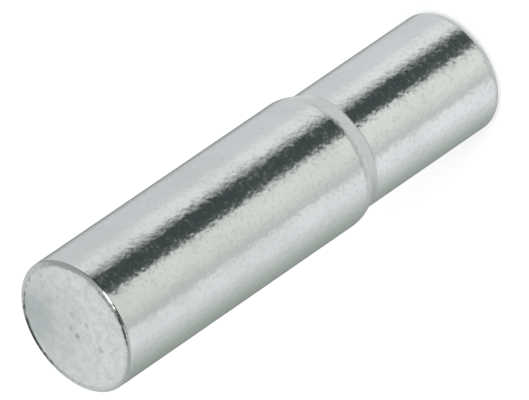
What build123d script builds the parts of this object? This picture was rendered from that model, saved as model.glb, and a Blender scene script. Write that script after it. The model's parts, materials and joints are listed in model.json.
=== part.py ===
"""Shelf support pin: a turned steel pin with a thick barrel, a short shoulder and a thinner plug.

The plug is pushed into a drilled hole in a cabinet side until the shoulder stops it, and the
shelf rests on the barrel that stands out. The pin is modelled standing on the free end of its
plug. Its axis is +Z and the origin is the centre of that end. All sizes are in millimetres.
"""

import os

from build123d import *

# Driving sizes
plug_diameter = 5.0
plug_length = 7.1
plug_edge_round = 0.35
shoulder_length = 0.7
shoulder_root_round = 0.5
shoulder_crest_round = 1.2
barrel_diameter = 5.5
barrel_length = 13.3
barrel_edge_width = 0.34
barrel_edge_depth = 0.12

# Sizes that follow from them
plug_radius = plug_diameter / 2
barrel_radius = barrel_diameter / 2
shoulder_top = plug_length + shoulder_length
pin_length = shoulder_top + barrel_length
barrel_edge_start = pin_length - barrel_edge_depth
barrel_face_radius = barrel_radius - barrel_edge_width


def half_section():
    """Half of the pin's lengthwise section, from the axis outwards."""
    with BuildSketch(Plane.XZ) as section:
        with BuildLine():
            # Plug end, plug, shoulder and barrel, with every corner rounded
            FilletPolyline(
                (0, 0),
                (plug_radius, 0),
                (plug_radius, plug_length),
                (barrel_radius, shoulder_top),
                (barrel_radius, barrel_edge_start),
                radius=[plug_edge_round, shoulder_root_round, shoulder_crest_round],
            )
            # The tumbled edge of the barrel's face is wider than it is deep
            EllipticalCenterArc(
                (barrel_face_radius, barrel_edge_start),
                x_radius=barrel_edge_width,
                y_radius=barrel_edge_depth,
                arc_size=90,
            )
            Polyline((barrel_face_radius, pin_length), (0, pin_length), (0, 0))
        make_face()
    return section.sketch


def support_pin():
    """The whole pin: its section turned once about the axis."""
    return revolve(half_section(), Axis.Z, 360)


os.makedirs("parts", exist_ok=True)
export_step(support_pin(), "parts/support_pin.step")
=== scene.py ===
"""Looks of the shelf support pin: zinc plated steel on a white sweep."""

import json
import math

import bmesh
import bpy
from bpy.props import FloatProperty, FloatVectorProperty, IntProperty, PointerProperty
from mathutils import Matrix, Vector, noise


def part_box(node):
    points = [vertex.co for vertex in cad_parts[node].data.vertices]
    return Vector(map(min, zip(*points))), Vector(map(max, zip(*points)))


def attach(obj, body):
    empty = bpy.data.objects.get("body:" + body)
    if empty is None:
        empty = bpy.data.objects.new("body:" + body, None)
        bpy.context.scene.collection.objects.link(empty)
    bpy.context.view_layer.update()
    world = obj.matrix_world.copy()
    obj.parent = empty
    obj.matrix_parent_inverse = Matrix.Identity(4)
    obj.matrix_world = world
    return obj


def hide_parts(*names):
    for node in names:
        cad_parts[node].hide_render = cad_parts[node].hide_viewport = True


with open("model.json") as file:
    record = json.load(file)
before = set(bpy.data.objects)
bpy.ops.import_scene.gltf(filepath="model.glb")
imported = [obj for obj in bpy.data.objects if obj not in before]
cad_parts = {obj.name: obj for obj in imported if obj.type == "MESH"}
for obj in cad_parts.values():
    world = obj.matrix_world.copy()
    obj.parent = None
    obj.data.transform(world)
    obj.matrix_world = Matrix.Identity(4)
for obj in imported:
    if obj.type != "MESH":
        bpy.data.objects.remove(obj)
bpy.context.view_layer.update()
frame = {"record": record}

bl_info = {
    "name": "Shelf support pin",
    "version": (1, 0, 0),
    "blender": (4, 5, 0),
    "location": "View3D > Sidebar > Shelf pin",
    "description": "Makes a plated shelf support pin and the studio it is shown in",
    "category": "Object",
}

MM = 0.001
PIN_NODE = "support_pin"
PIN_BODY = "root"

PHOTO_WIDTH = 529
PHOTO_HEIGHT = 400
SENSOR_WIDTH = 36.0

PIN_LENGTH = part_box(PIN_NODE)[1].z
MOUNT_RADIUS = {
    mount["name"]: mount["dims"]["r_mm"] * MM
    for mount in frame["record"]["mounts"]
    if "r_mm" in mount["dims"]
}

# Pits in the barrel's face: x and y in millimetres, width in millimetres, and depth as a share
PITS = (
    (-0.32, 0.18, 0.17, 1.0),
    (-1.25, -0.53, 0.22, 0.6),
    (1.35, 0.39, 0.22, 0.3),
    (-0.19, -0.68, 0.19, 0.5),
    (0.43, -0.32, 0.24, 0.4),
    (0.05, 0.24, 0.16, 0.5),
)

# The studio's colours by direction, in degrees round the pin: 0 is towards the camera (-Y), and
# 90 is +X. First what the sides reflect: soft white panels and one black flag.
PANELS = (
    (-180.0, (0.12, 0.14, 0.13)),
    (-158.0, (0.32, 0.35, 0.33)),
    (-130.0, (0.42, 0.46, 0.43)),
    (-100.0, (0.66, 0.69, 0.68)),
    (-80.0, (0.84, 0.87, 0.89)),
    (-58.0, (0.84, 0.86, 0.87)),
    (-48.0, (0.57, 0.60, 0.58)),
    (-36.0, (0.68, 0.71, 0.68)),
    (-20.0, (0.78, 0.81, 0.77)),
    (0.0, (0.80, 0.83, 0.79)),
    (9.0, (0.70, 0.73, 0.70)),
    (14.0, (0.10, 0.115, 0.115)),
    (24.0, (0.060, 0.075, 0.075)),
    (44.0, (0.055, 0.07, 0.07)),
    (62.0, (0.82, 0.84, 0.84)),
    (76.0, (0.86, 0.86, 0.86)),
    (92.0, (0.69, 0.71, 0.73)),
    (140.0, (0.66, 0.68, 0.70)),
    (160.0, (0.34, 0.37, 0.36)),
    (180.0, (0.12, 0.14, 0.13)),
)

# The pale table under the pin, a little darker behind it to the left
TABLE = (
    (-180.0, (0.68, 0.69, 0.69)),
    (-174.0, (0.40, 0.42, 0.41)),
    (-146.0, (0.40, 0.42, 0.41)),
    (-128.0, (0.58, 0.59, 0.59)),
    (-94.0, (0.71, 0.72, 0.72)),
    (94.0, (0.70, 0.71, 0.71)),
    (128.0, (0.73, 0.74, 0.74)),
    (180.0, (0.76, 0.77, 0.77)),
)

# What the face's edge reflects, at and above the horizon: the room, dark in front of the pin
ROOM = (
    (-180.0, (0.06, 0.07, 0.07)),
    (-178.0, (0.30, 0.32, 0.31)),
    (-175.0, (0.66, 0.68, 0.67)),
    (-166.0, (0.68, 0.70, 0.69)),
    (-161.0, (0.56, 0.59, 0.58)),
    (-156.0, (0.59, 0.62, 0.61)),
    (-144.0, (0.45, 0.48, 0.47)),
    (-106.0, (0.43, 0.46, 0.45)),
    (-96.0, (0.55, 0.58, 0.57)),
    (-66.0, (0.56, 0.59, 0.58)),
    (-54.0, (0.46, 0.49, 0.48)),
    (-44.0, (0.20, 0.22, 0.21)),
    (-26.0, (0.08, 0.09, 0.09)),
    (64.0, (0.045, 0.055, 0.055)),
    (80.0, (0.27, 0.30, 0.29)),
    (106.0, (0.37, 0.40, 0.39)),
    (136.0, (0.38, 0.41, 0.40)),
    (146.0, (0.60, 0.62, 0.61)),
    (171.0, (0.66, 0.68, 0.67)),
    (174.0, (0.08, 0.09, 0.09)),
    (180.0, (0.06, 0.07, 0.07)),
)

# Single tones of the studio
# Painted shade along the panels' feet, standing in for the pin's contact shadow on the table
CONTACT_SHADOW_TONE = (0.20, 0.22, 0.21)
TABLE_CLOUD = (0.42, 0.44, 0.43)
GREY_CEILING = (0.38, 0.41, 0.40)
DARK_CEILING = (0.06, 0.07, 0.07)
LIGHT_WALL = (0.76, 0.78, 0.79)
FLOOR_PAPER = (0.86, 0.86, 0.86)
FLOOR_LIFT = 0.40
PLAIN_LIGHT = (0.68, 0.68, 0.68)
WHITE = (1.0, 1.0, 1.0)


class PinSizes(bpy.types.PropertyGroup):
    """Sizes of the turned pin and of the mesh that shows it."""

    plug_radius: FloatProperty(
        name="Plug radius",
        description="Half the thickness of the part that goes into the cabinet",
        default=MOUNT_RADIUS["plug"],
        unit="LENGTH",
    )
    barrel_radius: FloatProperty(
        name="Barrel radius",
        description="Half the thickness of the part that carries the shelf",
        default=MOUNT_RADIUS["barrel"],
        unit="LENGTH",
    )
    pin_length: FloatProperty(
        name="Pin length",
        description="From the plug's free end to the barrel's face",
        default=PIN_LENGTH,
        unit="LENGTH",
    )
    plug_length: FloatProperty(
        name="Plug length",
        description="From the plug's free end to the root of the shoulder",
        default=7.1 * MM,
        unit="LENGTH",
    )
    shoulder_length: FloatProperty(
        name="Shoulder length",
        description="From the root of the shoulder to its crest",
        default=0.7 * MM,
        unit="LENGTH",
    )
    plug_edge_round: FloatProperty(
        name="Plug edge round",
        description="Radius of the plug's leading edge",
        default=0.35 * MM,
        unit="LENGTH",
    )
    root_round: FloatProperty(
        name="Shoulder root round",
        description="Radius of the hollow corner between plug and shoulder",
        default=0.5 * MM,
        unit="LENGTH",
    )
    crest_round: FloatProperty(
        name="Shoulder crest round",
        description="Radius of the corner between shoulder and barrel",
        default=1.2 * MM,
        unit="LENGTH",
    )
    face_edge_width: FloatProperty(
        name="Face edge width",
        description="How far the barrel's rounded edge reaches in over its face",
        default=0.34 * MM,
        unit="LENGTH",
    )
    face_edge_depth: FloatProperty(
        name="Face edge depth",
        description="How far the barrel's rounded edge reaches along its side",
        default=0.12 * MM,
        unit="LENGTH",
    )
    end_swell: FloatProperty(
        name="End swell",
        description="Half the greatest depth of the hollows in the two cut ends",
        default=0.004 * MM,
        unit="LENGTH",
    )
    ring_spacing: FloatProperty(
        name="Ring spacing",
        description="Distance between the mesh's rings",
        default=0.11 * MM,
        unit="LENGTH",
    )
    steps_around: IntProperty(
        name="Steps around",
        description="Faces in one turn about the axis",
        default=240,
    )
    round_steps: IntProperty(
        name="Round steps",
        description="Rings across each rounded corner",
        default=10,
    )


class PlatingLook(bpy.types.PropertyGroup):
    """Colours and finish of the zinc plating."""

    bright: FloatVectorProperty(
        name="Bright zinc",
        description="Colour of the clean plating",
        subtype="COLOR",
        default=(0.85, 0.87, 0.865),
    )
    clouded: FloatVectorProperty(
        name="Clouded zinc",
        description="Colour where the plating is slightly clouded",
        subtype="COLOR",
        default=(0.735, 0.76, 0.745),
    )
    cropped: FloatVectorProperty(
        name="Cropped end",
        description="Colour of the plating on the cut ends",
        subtype="COLOR",
        default=(0.87, 0.905, 0.905),
    )
    matt: FloatVectorProperty(
        name="Matt mottling",
        description="Colour of the duller patches on the cut ends",
        subtype="COLOR",
        default=(0.66, 0.68, 0.69),
    )
    stain: FloatVectorProperty(
        name="Stain",
        description="Colour of the faint stain near the edge of the barrel's face",
        subtype="COLOR",
        default=(0.48, 0.53, 0.53),
    )
    stain_place: FloatVectorProperty(
        name="Stain place",
        description="Middle of the stain",
        subtype="TRANSLATION",
        default=(1.35 * MM, 1.75 * MM, PIN_LENGTH),
    )
    # The pit colour is painted shade in the small recesses of the face
    pit: FloatVectorProperty(
        name="Pit",
        description="Colour in the small pits of the barrel's face",
        subtype="COLOR",
        default=(0.34, 0.36, 0.36),
    )
    grain_size: FloatProperty(
        name="Grain size",
        description="Width of one bump of the tumbled surface",
        default=0.30 * MM,
        unit="LENGTH",
    )


class StudioLook(bpy.types.PropertyGroup):
    """The camera's place, taken from the photograph, and the strip light."""

    face_distance: FloatProperty(
        name="Distance",
        description="From the lens to the middle of the barrel's face, along the view",
        default=0.4995,
        unit="LENGTH",
    )
    focal_length: FloatProperty(
        name="Focal length",
        description="Lens for a sensor 36 mm wide",
        default=923.8,
        unit="CAMERA",
    )
    elevation: FloatProperty(
        name="Elevation",
        description="How steeply the camera looks down on the standing pin",
        default=math.radians(36.15),
        subtype="ANGLE",
    )
    axis_lean: FloatProperty(
        name="Lean",
        description="Slope of the pin across the picture",
        default=math.radians(34.43),
        subtype="ANGLE",
    )
    face_column: FloatProperty(
        name="Face column",
        description="Where the middle of the barrel's face falls in the picture, from the left",
        default=74.5,
        subtype="PIXEL",
    )
    face_row: FloatProperty(
        name="Face row",
        description="Where the middle of the barrel's face falls in the picture, from the top",
        default=327.5,
        subtype="PIXEL",
    )
    key_power: FloatProperty(
        name="Key light",
        description="Strength of the soft strip light over the pin",
        default=0.15,
        unit="POWER",
    )
    key_width: FloatProperty(
        name="Key width",
        description="Width of the strip light",
        default=0.055,
        unit="LENGTH",
    )
    key_height: FloatProperty(
        name="Key height",
        description="Height of the strip light",
        default=0.25,
        unit="LENGTH",
    )
    key_distance: FloatProperty(
        name="Key distance",
        description="From the strip light to the middle of the pin",
        default=0.25,
        unit="LENGTH",
    )
    key_azimuth: FloatProperty(
        name="Key azimuth",
        description="How far round from the camera towards +X the strip light stands",
        default=math.radians(12),
        subtype="ANGLE",
    )
    key_elevation: FloatProperty(
        name="Key elevation",
        description="How high the strip light stands over the horizon",
        default=math.radians(60),
        subtype="ANGLE",
    )


def new_material(name):
    """An empty node material and its node tree."""
    material = bpy.data.materials.new(name)
    material.use_nodes = True
    material.node_tree.nodes.clear()
    return material, material.node_tree


def add_node(tree, kind, **settings):
    """A node of that kind. Settings name its own properties."""
    node = tree.nodes.new(kind)
    for key, value in settings.items():
        setattr(node, key, value)
    return node


def set_inputs(node, **values):
    """Sets sockets by name, with underscores for the spaces in it."""
    for key, value in values.items():
        node.inputs[key.replace("_", " ")].default_value = value


def feed(tree, socket, value):
    """Links another node's socket to this one, or sets this one to a plain value."""
    if isinstance(value, bpy.types.NodeSocket):
        tree.links.new(value, socket)
    else:
        socket.default_value = value


def maths(tree, operation, first, second):
    """A Math node's result. Each operand is a socket or a number."""
    node = add_node(tree, "ShaderNodeMath", operation=operation)
    feed(tree, node.inputs[0], first)
    feed(tree, node.inputs[1], second)
    return node.outputs[0]


def product(tree, first, *others):
    """Several values multiplied together."""
    total = first
    for value in others:
        total = maths(tree, "MULTIPLY", total, value)
    return total


def stretch(tree, value, low, high, to_low=0.0, to_high=1.0, smooth=True):
    """Maps a value's range onto another, clamped."""
    node = add_node(tree, "ShaderNodeMapRange", clamp=True)
    node.interpolation_type = "SMOOTHSTEP" if smooth else "LINEAR"
    names = ("From Min", "From Max", "To Min", "To Max")
    for name, number in zip(names, (low, high, to_low, to_high)):
        node.inputs[name].default_value = number
    tree.links.new(value, node.inputs["Value"])
    return node.outputs["Result"]


def mix_colours(tree, share, first, second):
    """A mix of two colours, each a socket or a colour."""
    node = add_node(tree, "ShaderNodeMix", data_type="RGBA")
    tree.links.new(share, node.inputs["Factor"])

    # A Mix node has an A, a B and a Result for each kind of value, so these go by number
    for socket, colour in ((node.inputs[6], first), (node.inputs[7], second)):
        feed(tree, socket, colour if isinstance(colour, bpy.types.NodeSocket) else (*colour, 1.0))
    return node.outputs[2]


def new_group(name, inputs, outputs):
    """An empty node group with its input and output nodes."""
    tree = bpy.data.node_groups.new(name, "ShaderNodeTree")
    for in_out, sockets in (("INPUT", inputs), ("OUTPUT", outputs)):
        for label, kind, default in sockets:
            socket = tree.interface.new_socket(
                label, in_out=in_out, socket_type=f"NodeSocket{kind}"
            )
            if default is not None:
                socket.default_value = default
    start = add_node(tree, "NodeGroupInput")
    end = add_node(tree, "NodeGroupOutput")
    return tree, start.outputs, end.inputs


def tumbled_grain_group():
    """The fine bumps that tumbling and plating leave: a height and a speckle mask."""
    tree, given, wanted = new_group(
        "tumbled_grain",
        [("Place", "Vector", None), ("Count", "Float", 3300.0), ("Fine share", "Float", 0.35)],
        [("Height", "Float", None), ("Speckle", "Float", None)],
    )
    links = tree.links
    coarse = add_node(tree, "ShaderNodeTexNoise")
    set_inputs(coarse, Detail=1.0, Roughness=0.5, Distortion=0.3)
    links.new(given["Place"], coarse.inputs["Vector"])
    links.new(given["Count"], coarse.inputs["Scale"])
    fine = add_node(tree, "ShaderNodeTexNoise")
    set_inputs(fine, Detail=1.5, Roughness=0.5)
    links.new(given["Place"], fine.inputs["Vector"])
    links.new(product(tree, given["Count"], 2.0), fine.inputs["Scale"])
    fine_part = product(tree, fine.outputs["Fac"], given["Fine share"])
    links.new(maths(tree, "ADD", coarse.outputs["Fac"], fine_part), wanted["Height"])
    links.new(stretch(tree, fine.outputs["Fac"], 0.50, 0.72), wanted["Speckle"])
    return tree


def clouding_group():
    """Slow changes of tone in the plating, in uneven patches. Count is patches to the metre."""
    tree, given, wanted = new_group(
        "plating_clouds",
        [("Place", "Vector", None), ("Count", "Float", 400.0)],
        [("Clouds", "Float", None)],
    )
    patches = add_node(tree, "ShaderNodeTexNoise")
    set_inputs(patches, Detail=3.0, Roughness=0.55, Distortion=0.6)
    tree.links.new(given["Place"], patches.inputs["Vector"])
    tree.links.new(given["Count"], patches.inputs["Scale"])
    tree.links.new(stretch(tree, patches.outputs["Fac"], 0.38, 0.66), wanted["Clouds"])
    return tree


def place_group(tree, group, **inputs):
    """One use of a node group, with sockets linked or set."""
    node = add_node(tree, "ShaderNodeGroup", node_tree=group)
    for key, value in inputs.items():
        feed(tree, node.inputs[key], value)
    return node.outputs


def bump(tree, height, distance):
    """A Bump node's normal."""
    node = add_node(tree, "ShaderNodeBump")
    set_inputs(node, Strength=0.5, Distance=distance)
    tree.links.new(height, node.inputs["Height"])
    return node.outputs["Normal"]


def finish_metal(tree, colour, roughness, normal, metallic):
    """The metal shader that both finishes end in."""
    shader = add_node(tree, "ShaderNodeBsdfPrincipled")
    set_inputs(shader, Metallic=metallic)
    output = add_node(tree, "ShaderNodeOutputMaterial")
    links = tree.links
    links.new(colour, shader.inputs["Base Color"])
    links.new(roughness, shader.inputs["Roughness"])
    links.new(normal, shader.inputs["Normal"])
    links.new(shader.outputs["BSDF"], output.inputs["Surface"])


def bright_plating(look, groups):
    """The turned sides: bright zinc with a tumbled grain, duller towards the barrel's face."""
    material, tree = new_material("bright_zinc")
    place = add_node(tree, "ShaderNodeTexCoord").outputs["Object"]
    grain = place_group(tree, groups["grain"], Place=place, Count=1 / look.grain_size)
    clouds = place_group(tree, groups["clouds"], Place=place)["Clouds"]

    # Duller along the pin, in clouds and in speckles
    split = add_node(tree, "ShaderNodeSeparateXYZ")
    tree.links.new(place, split.inputs["Vector"])
    dulling = stretch(tree, split.outputs["Z"], 0.0, PIN_LENGTH, 0.0, 0.7, smooth=False)
    speckled = product(tree, grain["Speckle"], 0.4)
    patches = maths(tree, "ADD", product(tree, clouds, 0.3), speckled)
    colour = mix_colours(tree, maths(tree, "ADD", dulling, patches), look.bright, look.clouded)

    clouded_gloss = stretch(tree, clouds, 0.0, 1.0, 0.11, 0.17)
    rough = maths(tree, "ADD", clouded_gloss, product(tree, grain["Speckle"], 0.13))
    finish_metal(tree, colour, rough, bump(tree, grain["Height"], 0.024 * MM), metallic=1.0)
    return material


def distance_to(tree, place, middle):
    """How far each point is from one place on the pin."""
    away = add_node(tree, "ShaderNodeVectorMath", operation="DISTANCE")
    tree.links.new(place, away.inputs[0])
    away.inputs[1].default_value = middle
    return away.outputs["Value"]


def face_pits(tree, place):
    """A mask of the small pits in the barrel's face, with ragged edges."""
    wavy = add_node(tree, "ShaderNodeTexNoise")
    set_inputs(wavy, Scale=9000.0)
    tree.links.new(place, wavy.inputs["Vector"])
    ragged = product(tree, wavy.outputs["Fac"], 0.12 * MM)

    # The ragged edge adds half of its size on average, which both limits take into account
    average = 0.06 * MM
    mask = None
    for x, y, width, depth in PITS:
        away = distance_to(tree, place, (x * MM, y * MM, PIN_LENGTH))
        reach = maths(tree, "ADD", away, ragged)
        pit = stretch(tree, reach, width * MM + average, average, 0.0, depth)
        mask = pit if mask is None else maths(tree, "MAXIMUM", mask, pit)
    return mask


def cropped_plating(look, groups):
    """The cut ends: half matt, mottled zinc. The barrel's face has small pits and a stain."""
    material, tree = new_material("cropped_zinc")
    place = add_node(tree, "ShaderNodeTexCoord").outputs["Object"]
    grain = place_group(tree, groups["grain"], Place=place, Count=1 / look.grain_size)
    clouds = place_group(tree, groups["clouds"], Place=place, Count=2600.0)["Clouds"]
    speckled = product(tree, grain["Speckle"], 0.35)
    mottling = maths(tree, "ADD", product(tree, clouds, 0.4), speckled)
    mottled = mix_colours(tree, mottling, look.cropped, look.matt)

    # A stain near the edge, and a slow fall in tone across the face towards it
    away = distance_to(tree, place, look.stain_place)
    spot = stretch(tree, away, 1.5 * MM, 0.3 * MM, 0.0, 0.38)
    fall = stretch(tree, away, 3.8 * MM, 0.8 * MM, 0.0, 0.35)
    stained = mix_colours(tree, maths(tree, "ADD", spot, fall), mottled, look.stain)

    pits = face_pits(tree, place)
    # Painted shade: the pits are darkened in colour, and the bump below also sinks them
    colour = mix_colours(tree, product(tree, pits, 0.75), stained, look.pit)
    rough = stretch(tree, clouds, 0.0, 1.0, 0.34, 0.42)
    height = maths(tree, "SUBTRACT", grain["Height"], pits)
    finish_metal(tree, colour, rough, bump(tree, height, 0.03 * MM), metallic=0.5)
    return material


def corner_reach(radius, first, corner, last):
    """How far from a corner a round of that radius starts."""
    turn = (corner - first).angle(last - corner)
    return radius * math.tan(turn / 2)


def round_corner(bm, corner, reach, steps):
    """Rounds a corner of the outline, and gives the vertices of the round."""
    rounded = bmesh.ops.bevel(
        bm,
        geom=[corner],
        offset=reach,
        offset_type="OFFSET",
        segments=steps,
        profile=0.5,
        affect="VERTICES",
        material=-1,
    )
    return rounded["verts"]


def half_outline(bm, sizes):
    """The edge of the pin's half section, from the foot's centre to the face's centre."""
    shoulder_top = sizes.plug_length + sizes.shoulder_length
    corners = [
        Vector((x, 0.0, z))
        for x, z in (
            (0.0, 0.0),
            (sizes.plug_radius, 0.0),
            (sizes.plug_radius, sizes.plug_length),
            (sizes.barrel_radius, shoulder_top),
            (sizes.barrel_radius, sizes.pin_length),
            (0.0, sizes.pin_length),
        )
    ]
    verts = [bm.verts.new(corner) for corner in corners]
    for first, second in zip(verts, verts[1:]):
        bm.edges.new((first, second))
    radii = (sizes.plug_edge_round, sizes.root_round, sizes.crest_round, sizes.face_edge_width)
    for index, radius in enumerate(radii, start=1):
        reach = corner_reach(radius, *corners[index - 1 : index + 2])
        rounded = round_corner(bm, verts[index], reach, sizes.round_steps)

    # The last round is the face's edge, which is wider than it is deep
    bmesh.ops.scale(
        bm,
        vec=(1.0, 1.0, sizes.face_edge_depth / sizes.face_edge_width),
        space=Matrix.Translation((0.0, 0.0, -sizes.pin_length)),
        verts=rounded,
    )


def divide_long_edges(bm, spacing):
    """Cuts each long straight edge into pieces of about that length."""
    for edge in list(bm.edges):
        cuts = math.floor(edge.calc_length() / spacing)
        if cuts:
            bmesh.ops.subdivide_edges(bm, edges=[edge], cuts=cuts)


def uneven_ends(bm, sizes):
    """Sinks the two cut ends unevenly inside their rims, as cropped steel is."""
    fade = 0.25 * MM
    lump_width = 0.9 * MM
    level_slack = 0.0001 * MM
    for vert in bm.verts:
        is_top = vert.co.z > sizes.pin_length / 2
        if is_top:
            level = sizes.pin_length
            edge = sizes.barrel_radius - sizes.face_edge_width
        else:
            level = 0.0
            edge = sizes.plug_radius - sizes.plug_edge_round
        reach = math.hypot(vert.co.x, vert.co.y)
        if abs(vert.co.z - level) > level_slack or reach > edge:
            continue
        share = min(1.0, (edge - reach) / fade)
        depth = (noise.noise(vert.co / lump_width) + 1.0) * sizes.end_swell * share
        vert.co.z += -depth if is_top else depth


def make_pin(sizes, look):
    """The pin as one mesh in place of the frame's plain solid."""
    bm = bmesh.new()
    half_outline(bm, sizes)
    divide_long_edges(bm, sizes.ring_spacing)
    bmesh.ops.spin(
        bm,
        geom=bm.verts[:] + bm.edges[:],
        cent=(0.0, 0.0, 0.0),
        axis=(0.0, 0.0, 1.0),
        angle=math.tau,
        steps=sizes.steps_around,
        use_merge=True,
        use_duplicate=False,
    )
    bmesh.ops.remove_doubles(bm, verts=bm.verts, dist=0.001 * MM)
    bmesh.ops.recalc_face_normals(bm, faces=bm.faces)

    # The flat ends take the second material
    for face in bm.faces:
        face.smooth = True
        face.material_index = int(abs(face.normal.z) > 0.999)
    uneven_ends(bm, sizes)

    mesh = bpy.data.meshes.new("pin_surface")
    bm.to_mesh(mesh)
    bm.free()
    groups = {"grain": tumbled_grain_group(), "clouds": clouding_group()}
    mesh.materials.append(bright_plating(look, groups))
    mesh.materials.append(cropped_plating(look, groups))
    pin = bpy.data.objects.new("pin_surface", mesh)
    bpy.context.scene.collection.objects.link(pin)
    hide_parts(PIN_NODE)
    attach(pin, PIN_BODY)


def place_camera(studio, pin_length):
    """The camera at the photograph's angle, rolled so that the pin leans as it does there."""
    data = bpy.data.cameras.new("photo_camera")
    data.sensor_fit = "HORIZONTAL"
    data.sensor_width = SENSOR_WIDTH
    data.lens = studio.focal_length
    data.clip_start = studio.face_distance / 100
    data.clip_end = studio.face_distance * 100
    tilt = Matrix.Rotation(math.radians(90) - studio.elevation, 3, "X")
    roll = Matrix.Rotation(-math.radians(90) - studio.axis_lean, 3, "Z")
    turn = tilt @ roll

    # The lens stands where the middle of the barrel's face falls on its pixel of the photograph
    focal_pixels = studio.focal_length / SENSOR_WIDTH * PHOTO_WIDTH
    face_in_view = Vector(
        (
            (studio.face_column - PHOTO_WIDTH / 2) / focal_pixels,
            (PHOTO_HEIGHT / 2 - studio.face_row) / focal_pixels,
            -1.0,
        )
    )
    face = Vector((0.0, 0.0, pin_length))
    place = face - turn @ (face_in_view * studio.face_distance)
    camera = bpy.data.objects.new("photo_camera", data)
    camera.matrix_world = Matrix.Translation(place) @ turn.to_4x4()
    bpy.context.scene.collection.objects.link(camera)
    bpy.context.scene.camera = camera


def floor_paper():
    """Pale paper that shows white to the camera and keeps a shadow."""
    material, tree = new_material("white_sweep")
    links = tree.links
    paper = add_node(tree, "ShaderNodeBsdfDiffuse")
    paper.inputs["Color"].default_value = (*FLOOR_PAPER, 1.0)
    lift = add_node(tree, "ShaderNodeEmission")
    ray = add_node(tree, "ShaderNodeLightPath")
    links.new(product(tree, ray.outputs["Is Camera Ray"], FLOOR_LIFT), lift.inputs["Strength"])
    total = add_node(tree, "ShaderNodeAddShader")
    links.new(paper.outputs["BSDF"], total.inputs[0])
    links.new(lift.outputs["Emission"], total.inputs[1])
    output = add_node(tree, "ShaderNodeOutputMaterial")
    links.new(total.outputs["Shader"], output.inputs["Surface"])
    return material


def make_floor():
    """A wide floor. The metal reflects the world's table in its place."""
    bm = bmesh.new()
    bmesh.ops.create_circle(bm, cap_ends=True, segments=96, radius=6.0)
    mesh = bpy.data.meshes.new("floor")
    bm.to_mesh(mesh)
    bm.free()
    mesh.materials.append(floor_paper())
    floor = bpy.data.objects.new("floor", mesh)
    floor.visible_glossy = False
    bpy.context.scene.collection.objects.link(floor)


def ramp_round(tree, around, stops):
    """Colours laid out round the pin. Stops are (degrees, colour)."""
    ramp = add_node(tree, "ShaderNodeValToRGB")
    elements = ramp.color_ramp.elements
    while len(elements) > 1:
        elements.remove(elements[0])
    for index, (degrees, colour) in enumerate(stops):
        position = (degrees + 180.0) / 360.0
        element = elements[0] if index == 0 else elements.new(position)
        element.position = position
        element.color = (*colour, 1.0)
    tree.links.new(around, ramp.inputs["Fac"])
    return ramp.outputs["Color"]


def panels_and_table(tree, direction, around, y, z):
    """Below the horizon: the panels, with painted shade at their feet that stands for the pin's
    contact shadow on the table, and the table between them.
    """
    panels = ramp_round(tree, around, PANELS)
    # Painted shade: a dark band where the panels meet the table stands in for the pin's contact
    # shadow there
    feet = stretch(tree, z, -0.66, -0.73, 0.0, 0.45)
    shaded = mix_colours(tree, feet, panels, CONTACT_SHADOW_TONE)

    uneven = add_node(tree, "ShaderNodeTexNoise")
    set_inputs(uneven, Scale=6.0, Detail=2.0)
    tree.links.new(direction, uneven.inputs["Vector"])
    clouded = stretch(tree, uneven.outputs["Fac"], 0.35, 0.65, 0.0, 0.3)
    table = mix_colours(tree, clouded, ramp_round(tree, around, TABLE), TABLE_CLOUD)

    # The table's edge is nearer behind the pin than in front of it
    farther = product(tree, y, 0.15)
    under = stretch(tree, maths(tree, "SUBTRACT", farther, z), 0.71, 0.78)
    return mix_colours(tree, under, shaded, table)


def room_and_wall(tree, around, x, y, z):
    """Above the horizon: the room, its ceiling and the light wall that the face mirrors."""
    room = ramp_round(tree, around, ROOM)

    # The ceiling is grey towards +X, and dark in a strip overhead towards -X
    grey_left = stretch(tree, x, 0.10, 0.20)
    grey_foot = stretch(tree, z, 0.54, 0.64)
    part_grey = mix_colours(tree, product(tree, grey_left, grey_foot), room, GREY_CEILING)
    dark_left = stretch(tree, x, -0.38, -0.27)
    dark_right = stretch(tree, x, -0.04, -0.14)
    dark_foot = stretch(tree, z, 0.80, 0.86)
    dark_strip = product(tree, dark_left, dark_right, dark_foot)
    ceiling = mix_colours(tree, dark_strip, part_grey, DARK_CEILING)

    # The light wall stands behind the pin
    wall_left = stretch(tree, x, -0.34, -0.14)
    wall_right = stretch(tree, x, 0.20, 0.08)
    wall_foot = stretch(tree, z, 0.42, 0.56)
    wall_top = stretch(tree, y, 0.50, 0.70)
    wall = product(tree, wall_left, wall_right, wall_foot, wall_top)
    return mix_colours(tree, wall, ceiling, LIGHT_WALL)


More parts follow.
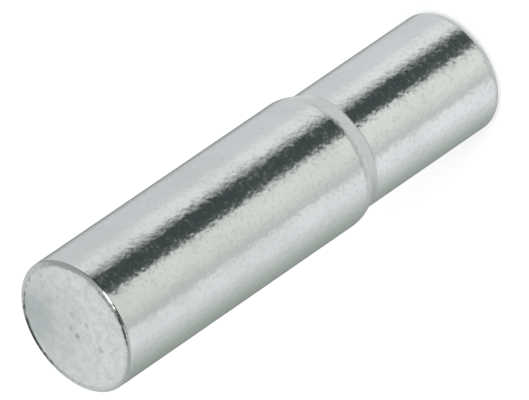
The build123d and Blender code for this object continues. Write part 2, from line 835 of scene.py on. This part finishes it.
def studio_world():
    """The studio: plain light, white behind, and a room that only the metal reflects."""
    world = bpy.data.worlds.new("studio")
    bpy.context.scene.world = world
    world.use_nodes = True
    tree = world.node_tree
    tree.nodes.clear()
    links = tree.links

    # The direction looked in, as an angle round the pin and as x, y and z
    direction = add_node(tree, "ShaderNodeTexCoord").outputs["Generated"]
    turned = add_node(tree, "ShaderNodeMapping")
    turned.inputs["Rotation"].default_value = (0.0, 0.0, math.radians(90))
    links.new(direction, turned.inputs["Vector"])
    gradient = add_node(tree, "ShaderNodeTexGradient", gradient_type="RADIAL")
    links.new(turned.outputs["Vector"], gradient.inputs["Vector"])
    around = gradient.outputs["Fac"]
    split = add_node(tree, "ShaderNodeSeparateXYZ")
    links.new(direction, split.inputs["Vector"])
    x, y, z = split.outputs

    # The room's lower edge hangs lower behind the pin than in front of it
    behind = stretch(tree, y, 0.2, 0.6, 0.0, 0.50)
    above = stretch(tree, maths(tree, "ADD", z, behind), 0.0, 0.15)
    low = panels_and_table(tree, direction, around, y, z)
    high = room_and_wall(tree, around, x, y, z)
    reflected = mix_colours(tree, above, low, high)

    # Only the metal's reflections see the room
    ray = add_node(tree, "ShaderNodeLightPath")
    plain = mix_colours(tree, ray.outputs["Is Camera Ray"], PLAIN_LIGHT, WHITE)
    seen = mix_colours(tree, ray.outputs["Is Glossy Ray"], plain, reflected)
    background = add_node(tree, "ShaderNodeBackground")
    links.new(seen, background.inputs["Color"])
    output = add_node(tree, "ShaderNodeOutputWorld")
    links.new(background.outputs["Background"], output.inputs["Surface"])


def strip_light(studio):
    """The soft strip light, facing the middle of the pin."""
    data = bpy.data.lights.new("key", "AREA")
    data.shape = "RECTANGLE"
    data.size = studio.key_width
    data.size_y = studio.key_height
    data.energy = studio.key_power
    light = bpy.data.objects.new("key", data)
    level = math.cos(studio.key_elevation)
    away = Vector(
        (
            math.sin(studio.key_azimuth) * level,
            -math.cos(studio.key_azimuth) * level,
            math.sin(studio.key_elevation),
        )
    )
    light.location = Vector((0.0, 0.0, PIN_LENGTH / 2)) + away * studio.key_distance
    light.rotation_mode = "QUATERNION"
    light.rotation_quaternion = away.to_track_quat("Z", "Y")
    bpy.context.scene.collection.objects.link(light)


class SHELFPIN_OT_make_pin(bpy.types.Operator):
    """Make the plated pin in place of the frame's plain solid"""

    bl_idname = "shelfpin.make_pin"
    bl_label = "Make pin"

    def execute(self, context):
        scene = context.scene
        make_pin(scene.pin_sizes, scene.plating_look)
        return {"FINISHED"}


class SHELFPIN_OT_make_studio(bpy.types.Operator):
    """Make the floor, the reflected room, the strip light and the camera"""

    bl_idname = "shelfpin.make_studio"
    bl_label = "Make studio"

    def execute(self, context):
        scene = context.scene
        scene.view_settings.view_transform = "Standard"
        make_floor()
        studio_world()
        strip_light(scene.studio_look)
        place_camera(scene.studio_look, scene.pin_sizes.pin_length)
        return {"FINISHED"}


class SHELFPIN_PT_panel(bpy.types.Panel):
    """Lists the settings and the operators that use them"""

    bl_idname = "SHELFPIN_PT_panel"
    bl_label = "Shelf pin"
    bl_space_type = "VIEW_3D"
    bl_region_type = "UI"
    bl_category = "Shelf pin"

    def draw(self, context):
        layout = self.layout
        for name, group in SETTINGS.items():
            box = layout.box()
            for key in group.__annotations__:
                box.prop(getattr(context.scene, name), key)
        layout.operator(SHELFPIN_OT_make_pin.bl_idname)
        layout.operator(SHELFPIN_OT_make_studio.bl_idname)


CLASSES = (
    PinSizes,
    PlatingLook,
    StudioLook,
    SHELFPIN_OT_make_pin,
    SHELFPIN_OT_make_studio,
    SHELFPIN_PT_panel,
)
SETTINGS = {"pin_sizes": PinSizes, "plating_look": PlatingLook, "studio_look": StudioLook}


def register():
    """Registers the classes and gives the scene its settings."""
    for item in CLASSES:
        bpy.utils.register_class(item)
    for name, group in SETTINGS.items():
        setattr(bpy.types.Scene, name, PointerProperty(type=group))


def unregister():
    """Takes the settings and classes away again."""
    for name in SETTINGS:
        delattr(bpy.types.Scene, name)
    for item in reversed(CLASSES):
        bpy.utils.unregister_class(item)


def main():
    """Makes the pin and its studio."""
    register()
    bpy.ops.shelfpin.make_pin()
    bpy.ops.shelfpin.make_studio()


if __name__ == "__main__":
    main()
